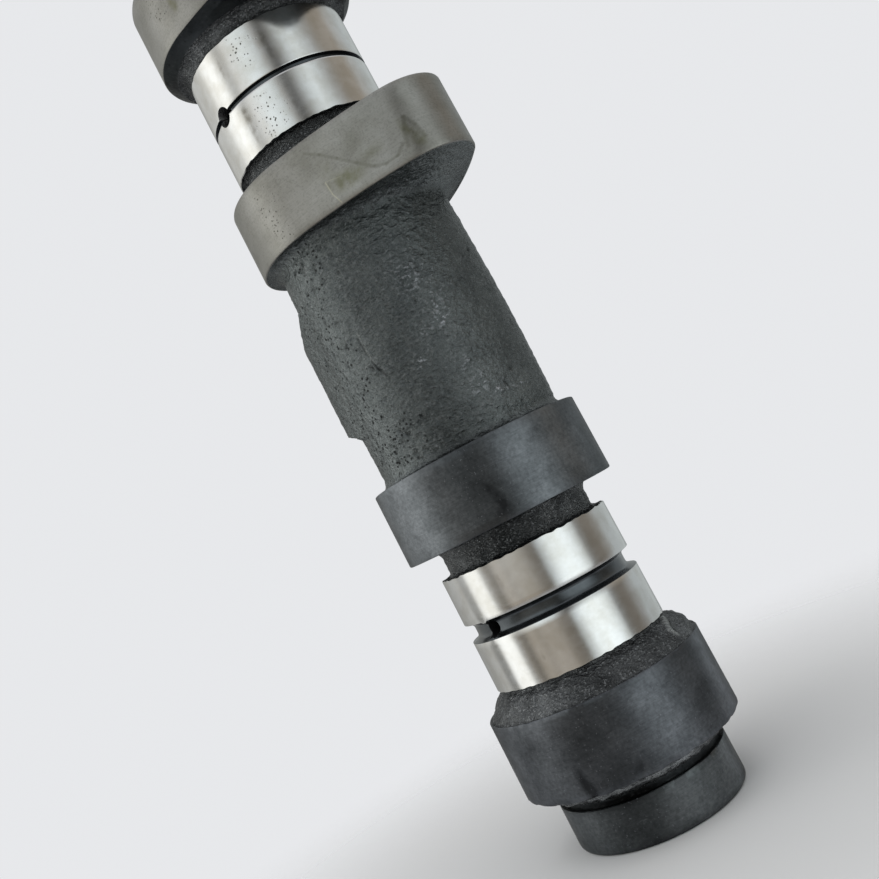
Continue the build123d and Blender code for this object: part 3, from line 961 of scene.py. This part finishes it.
# %% Bright bearing
OLD_OIL, BEARING_PIT_COLOUR = (0.20, 0.185, 0.155), (0.10, 0.095, 0.085)
tree, shader = start_finish("bright_bearing", 1.0)
base = ramp(tree, cloud(tree, 3.2, 4), [(0.35, (0.52, 0.51, 0.49)), (0.62, (0.60, 0.60, 0.60))])
smeared = broken_mark(tree, "smear_and_pit_shade", [(0.16, 0.0), (0.55, 0.75)], 1.1, 5)
base = over(tree, smeared, base, OLD_OIL)
pit_here = pits(tree, 0.62)
# the pits, coloured darker
base = over(tree, pit_here, base, BEARING_PIT_COLOUR)
lines = bump(tree, cloud(tree, 0.9, 3, (1, 1, 0.10)), 0.0016)
connect(
    tree, shader,
    Base_Color=base,
    Roughness=ramp(tree, cloud(tree, 1.2, 4, (1, 1, 0.2)), [(0.3, 0.12), (0.7, 0.19)]),
    Normal=sunk(tree, pit_here, 0.04, lines),
)
print("nodes in this finish:", len(tree.nodes))

# %% [markdown]
# ## Scratches
# A scratch is a thin line between two places on the layout of angle and height. Geometry so
# fine would cost many faces, so a scratch is colour, laid on where a point lies nearer to the
# line than its width.

# %% Scratch helpers


def scratch(tree, start, end, width):
    """1 on a thin straight scratch between two (angle, height) places, 0 beside it."""
    reach = (2 * math.pi * BASE_R, END_BEARING[1], 1.0)
    scale = np.array([2 * math.pi * BASE_R / 360, 1.0])
    first = np.array([start[0] % 360, start[1]]) * scale
    way = np.array([end[0] % 360, end[1]]) * scale - first
    place = put(tree, "UVMap", uv_map="angle_and_height").outputs["UV"]
    place = vector_math(tree, "MULTIPLY", place, reach)["Vector"]
    arm = vector_math(tree, "SUBTRACT", place, (*first, 0))["Vector"]
    along = vector_math(tree, "DOT_PRODUCT", arm, (*(way / (way @ way)), 0))["Value"]
    along = put(tree, "Clamp", {"Value": along}).outputs[0]
    inputs = {0: (*way, 0), "Scale": along}
    foot = put(tree, "VectorMath", inputs, operation="SCALE").outputs["Vector"]
    away = vector_math(tree, "DISTANCE", arm, foot)["Value"]
    return ramp(tree, away, [(width * 0.3, 1.0), (width, 0.0)])


def draw(tree, base, path, width, share, colour):
    """A thin line of a colour through (angle, height) places, laid over a base colour."""
    for start, end in zip(path, path[1:]):
        line = calculate(tree, "MULTIPLY", scratch(tree, start, end, width), share)
        base = over(tree, line, base, colour)
    return base


# %% [markdown]
# ## Ground lobes
# Lobes 3 and 4 are ground but not polished: a warm grey satin with the wheel's fine lines round
# them, olive smears of old oil, fine pits on the side away from the nose and thin scratches.

# %% Ground lobe
OLIVE_SMEAR, LOBE_PIT = (0.130, 0.128, 0.082), (0.075, 0.073, 0.062)
# each line is its (angle, height) places, its width, its strength and its colour
LOBE_LINES = [
    ([(-97, 117.8), (-91, 116.2), (-85, 114.0), (-79, 111.6), (-74, 109.6), (-70, 108.9),
      (-66, 109.0), (-63, 110.2)], 0.34, 0.34, (0.095, 0.093, 0.070)),
    ([(-62, 109.4), (-61, 112.0), (-59.5, 114.0), (-57.5, 112.0), (-56.5, 109.6)],
     0.30, 0.40, (0.100, 0.098, 0.075)),
    ([(-94.5, 111.8), (-94.0, 109.6), (-92.0, 107.6)], 0.14, 0.45, (0.42, 0.40, 0.31)),
    ([(-94.3, 111.9), (-87, 111.2)], 0.12, 0.18, (0.40, 0.38, 0.29)),
]
tree, shader = start_finish("ground_lobe", 0.9, 0.8)
base = ramp(
    tree, cloud(tree, 7.0, 5),
    [(0.30, (0.190, 0.185, 0.165)), (0.48, (0.245, 0.240, 0.222)), (0.70, (0.290, 0.285, 0.270))],
)
wheel = ramp(tree, cloud(tree, 3.0, 4, (1, 1, 0.03)), [(0.3, 0.88), (0.7, 1.05)])
base = shade(tree, base, wheel)
freckles = ramp(tree, cloud(tree, 0.35, 4), [(0.36, 0.84), (0.50, 1.0)])
base = shade(tree, base, freckles)
smeared = broken_mark(tree, "smear_and_pit_shade", [(0.10, 0.0), (0.45, 0.8)], 1.6)
base = over(tree, smeared, base, OLIVE_SMEAR)
pit_here = pits(tree, 0.60)
base = over(tree, pit_here, base, LOBE_PIT)
for path, width, share, colour in LOBE_LINES:
    base = draw(tree, base, path, width, share, colour)
grind = bump(tree, cloud(tree, 1.6, 4, (1, 1, 0.04)), 0.006)
connect(
    tree, shader,
    Base_Color=base,
    Roughness=ramp(tree, cloud(tree, 2.0, 4), [(0.3, 0.30), (0.7, 0.42)]),
    Normal=bump(tree, cloud(tree, 0.45, 4), 0.010, grind),
)
print("nodes in this finish:", len(tree.nodes))

# %% [markdown]
# ## Blued lobes and the nose end
# Lobes 1 and 2 carry a thin dark phosphate coat that lets a dull blue-grey shine through, and
# the nose end has the same coat. Smears darken it, and scuffs lighten it, partly as a painted
# sheen. Broad areas of it are painted lighter and darker as painted light and shade, which is
# what the light and shade number on the mesh is for.

# %% Blued lobes and nose end
WET_SMEAR, COAT_SCUFF_AND_SHEEN, COAT_SPECK = (0.016, 0.017, 0.019), (0.20, 0.21, 0.22), (0.26, 0.27, 0.30)


def blued(name, dark, light, roughness):
    """Dark coated iron: cloudy, softly shining, with painted light and shade, smears, scuffs
    partly painted as sheen, and pale specks.
    """
    tree, shader = start_finish(name, 0.9, 0.55)
    base = ramp(tree, cloud(tree, 4.5, 5), [(0.32, dark), (0.68, light)])
    # painted light and shade, read from the mesh
    base = shade(tree, base, mark(tree, "light_and_shade"))
    mottled = ramp(tree, cloud(tree, 0.55, 4), [(0.32, 0.70), (0.64, 1.0)])
    base = shade(tree, base, mottled)
    streaks = ramp(tree, cloud(tree, 2.4, 4, (1, 1, 0.06)), [(0.35, 0.84), (0.60, 1.0)])
    base = shade(tree, base, streaks)
    smeared = broken_mark(tree, "smear_and_pit_shade", [(0.10, 0.0), (0.45, 0.85)], 1.4)
    base = over(tree, smeared, base, WET_SMEAR)
    # scuffs, and painted sheen on the coat's bright band
    scuff_and_sheen_share = broken_mark(tree, "scuff_and_sheen", [(0.22, 0.0), (0.55, 0.7)], 0.7, 5, (1, 1, 0.5))
    base = over(tree, scuff_and_sheen_share, base, COAT_SCUFF_AND_SHEEN)
    specks = ramp(tree, cloud(tree, 0.34, 3), [(0.64, 0.0), (0.76, 0.5)])
    base = over(tree, specks, base, COAT_SPECK)
    low, high = roughness
    fine = bump(tree, cloud(tree, 0.3, 3), 0.006)
    connect(
        tree, shader,
        Base_Color=base,
        Roughness=ramp(tree, cloud(tree, 1.6, 5), [(0.3, low), (0.7, high)]),
        Normal=bump(tree, cloud(tree, 2.0, 4, (1, 1, 0.1)), 0.007, fine),
    )


blued("blued_lobe", (0.096, 0.104, 0.112), (0.146, 0.156, 0.168), (0.31, 0.40))
blued("front_lobe", (0.064, 0.069, 0.076), (0.106, 0.113, 0.124), (0.36, 0.44))
blued("smooth_end", (0.062, 0.068, 0.071), (0.104, 0.112, 0.117), (0.30, 0.38))
print("finishes so far:", ", ".join(finishes))

# %% [markdown]
# ## Cast iron
# The castings are the same iron with three skins: the shaft's dark green-grey orange peel, the
# necks' nearly black grain with small painted glints on its peaks, and the smoother, nearly black
# bands beside the lobes, whose darkness is partly painted shade. Scuffs and painted glints
# brighten only the peaks, the hollows get painted shade, the pits are darker, the deeper ones
# with painted shade, and single grains get painted glints where the mesh is painted lighter. One
# helper makes all three skins from their colours and grain.

# %% Castings
# a painted highlight for the peaks, painted glints for single grains, and scuffs with painted
# glints
PAINTED_PEAK_SHINE, PAINTED_GRAIN_GLINT, PEAK_SCUFF_AND_GLINT = (0.28, 0.29, 0.30), (0.40, 0.41, 0.42), (0.36, 0.37, 0.40)
# smears with the painted shade of the deeper pits, and the pits' own dark colour
SMEAR_AND_PIT_SHADE_COLOUR, PIT_BLACK = (0.012, 0.013, 0.013), (0.016, 0.017, 0.017)


def casting(name, dark, light, grain, depth, roughness, glint, lines=()):
    """Sand-cast iron with lumps of a grain in millimetres, painted glints on its peaks and painted
    shade in its hollows.
    """
    tree, shader = start_finish(name, 0.85, 0.6)
    base = ramp(tree, cloud(tree, grain * 7, 4), [(0.3, dark), (0.7, light)])
    # painted light and shade, read from the mesh
    base = shade(tree, base, mark(tree, "light_and_shade"))
    peaks = cloud(tree, grain, 4, (1, 1, 0.75), 0.6)
    # a painted highlight on the peaks
    base = over(tree, ramp(tree, peaks, [(0.55, 0.0), (0.70, glint)]), base, PAINTED_PEAK_SHINE)
    # painted shade in the hollows between the peaks
    base = shade(tree, base, ramp(tree, peaks, [(0.26, 0.40), (0.42, 1.0)]))

    # painted glints on single grains, only where the mesh is painted lighter
    painted_glints = ramp(tree, cells(tree, grain * 0.9), [(0.18, glint * glint), (0.34, 0.0)])
    patchy = ramp(tree, cloud(tree, 1.6, 3), [(0.44, 0.0), (0.58, 1.0)])
    painted_glints = calculate(tree, "MULTIPLY", painted_glints, patchy)
    lit = calculate(tree, "MULTIPLY_ADD", mark(tree, "light_and_shade"), 1.2, -0.9)
    lit.node.use_clamp = True
    base = over(tree, calculate(tree, "MULTIPLY", painted_glints, lit), base, PAINTED_GRAIN_GLINT)

    # scuffs and painted glints, laid on the peaks only
    on_peaks = ramp(tree, peaks, [(0.54, 0.0), (0.64, 1.0)])
    scuff_and_sheen_share = calculate(tree, "MULTIPLY", mark(tree, "scuff_and_sheen"), on_peaks)
    base = over(tree, scuff_and_sheen_share, base, PEAK_SCUFF_AND_GLINT)
    # smears, and the painted shade of the deeper pits
    base = over(tree, mark(tree, "smear_and_pit_shade"), base, SMEAR_AND_PIT_SHADE_COLOUR)
    pit_here = pits(tree, 0.85)
    base = over(tree, pit_here, base, PIT_BLACK)
    for path, width, share, colour in lines:
        base = draw(tree, base, path, width, share, colour)

    coarse = bump(tree, cloud(tree, grain * 2.2, 2, (1, 1, 0.7)), depth * 1.6)
    coarse = sunk(tree, pit_here, 0.10, coarse)
    connect(
        tree, shader,
        Base_Color=base,
        Roughness=ramp(tree, peaks, [(0.35, roughness + 0.08), (0.65, roughness - 0.06)]),
        Normal=bump(tree, peaks, depth, coarse),
    )


# %% [markdown]
# ## Lines in the castings
# The oval on the shaft and the ridge over lobe 1 are in the mesh already. Painted shade beside
# such low forms and painted highlights along them make them easier to read, so lines are drawn
# along them like scratches.

# %% Three skins of cast iron
DEEP_PAINTED_SHADE, SOFT_PAINTED_SHADE, PAINTED_EDGE_HIGHLIGHT = (0.010, 0.011, 0.011), (0.028, 0.030, 0.030), (0.22, 0.23, 0.23)
# the oval's lines: painted shade along its edges and a painted highlight on its rim
OVAL_LINES = [
    ([(-119.8, 84.0), (-118.4, 82.4), (-115.8, 80.9)], 0.36, 0.60, DEEP_PAINTED_SHADE),
    ([(-121.6, 88.4), (-121.2, 85.6)], 0.30, 0.45, PIT_BLACK),
    ([(-120.4, 89.0), (-120.2, 86.0), (-118.6, 83.6)], 0.22, 0.45, PAINTED_EDGE_HIGHLIGHT),
    ([(-118.0, 90.8), (-112.0, 92.4), (-104.0, 93.0), (-98.0, 92.2)], 0.22, 0.40, SOFT_PAINTED_SHADE),
    ([(-115.0, 81.0), (-108.0, 80.4), (-100.0, 81.2)], 0.22, 0.30, (0.030, 0.032, 0.032)),
]
# the ridge's lines: painted shade below its crest and a painted highlight along it
RIDGE_LINES = [
    ([(-17.0, 27.3), (-24.0, 26.7), (-31.0, 25.9), (-33.2, 25.3)], 0.60, 0.80, DEEP_PAINTED_SHADE),
    ([(-15.0, 27.9), (-22.0, 27.2), (-30.0, 26.6), (-35.5, 25.7), (-35.4, 25.0)],
     0.55, 0.90, (0.26, 0.27, 0.27)),
]
casting(
    "shaft_casting", dark=(0.068, 0.076, 0.078), light=(0.102, 0.112, 0.113),
    grain=0.62, depth=0.30, roughness=0.26, glint=0.30, lines=OVAL_LINES,
)
casting(
    "black_casting", dark=(0.036, 0.038, 0.040), light=(0.092, 0.096, 0.100),
    grain=0.42, depth=0.36, roughness=0.28, glint=0.90, lines=RIDGE_LINES,
)
# nearly black, partly painted shade in the corners beside the lobes and in the undercut
casting(
    "smooth_casting", dark=(0.012, 0.014, 0.015), light=(0.026, 0.029, 0.031),
    grain=0.80, depth=0.05, roughness=0.34, glint=0.05,
)
print("finishes so far:", ", ".join(finishes))

# %% [markdown]
# ## Grooves, holes and turned faces
# The grooves are turned, and their dark colour is painted shade inside the groove; the holes
# are painted darker still, as painted shade, and the end faces keep the rings that the turning
# tool cut.

# %% Groove, hole and end face


def fine_lines(tree):
    """Fine lines round the shaft."""
    return cloud(tree, 1.5, 3, (1, 1, 0.1))


def rough_wall(tree):
    """The torn wall of a drilled hole."""
    return cloud(tree, 0.5, 3)


def tool_rings(tree):
    """Rings round the shaft's axis, about a third of a millimetre apart."""
    where = put(tree, "TexCoord").outputs["Object"]
    inputs = {"Vector": where, "Scale": 950.0, "Distortion": 0.5, "Detail": 2.0}
    return put(tree, "TexWave", inputs, wave_type="RINGS", rings_direction="Z").outputs["Fac"]


def machined(name, metallic, dark, light, size, roughness, height, depth):
    """A machined surface: its cloudy colour, its roughness range and its tool marks."""
    tree, shader = start_finish(name, metallic)
    low, high = roughness
    connect(
        tree, shader,
        Base_Color=ramp(tree, cloud(tree, size, 4), [(0.3, dark), (0.7, light)]),
        Roughness=ramp(tree, cloud(tree, size / 2, 3), [(0.3, low), (0.7, high)]),
        Normal=bump(tree, height(tree), depth),
    )


# the groove's dark colour is painted shade inside the groove
machined(
    "groove_wall", 0.9, dark=(0.052, 0.058, 0.063), light=(0.092, 0.101, 0.110),
    size=3.0, roughness=(0.16, 0.24), height=fine_lines, depth=0.004,
)
# the holes' nearly black colour is painted shade inside them
machined(
    "drilled", 0.5, dark=(0.010, 0.010, 0.011), light=(0.028, 0.028, 0.030),
    size=1.0, roughness=(0.45, 0.65), height=rough_wall, depth=0.02,
)
machined(
    "turned_end", 0.95, dark=(0.22, 0.22, 0.22), light=(0.34, 0.34, 0.34),
    size=2.6, roughness=(0.26, 0.40), height=tool_rings, depth=0.004,
)
print("finishes:", ", ".join(finishes))

# %% [markdown]
# ## Hand the skin to the model
# The skin stands for the measured solid, which is hidden, and moves with it.

# %% Attach
for name in FINISH_NAMES:
    shell.materials.append(finishes[name])
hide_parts("camshaft")
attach(camshaft, "root")
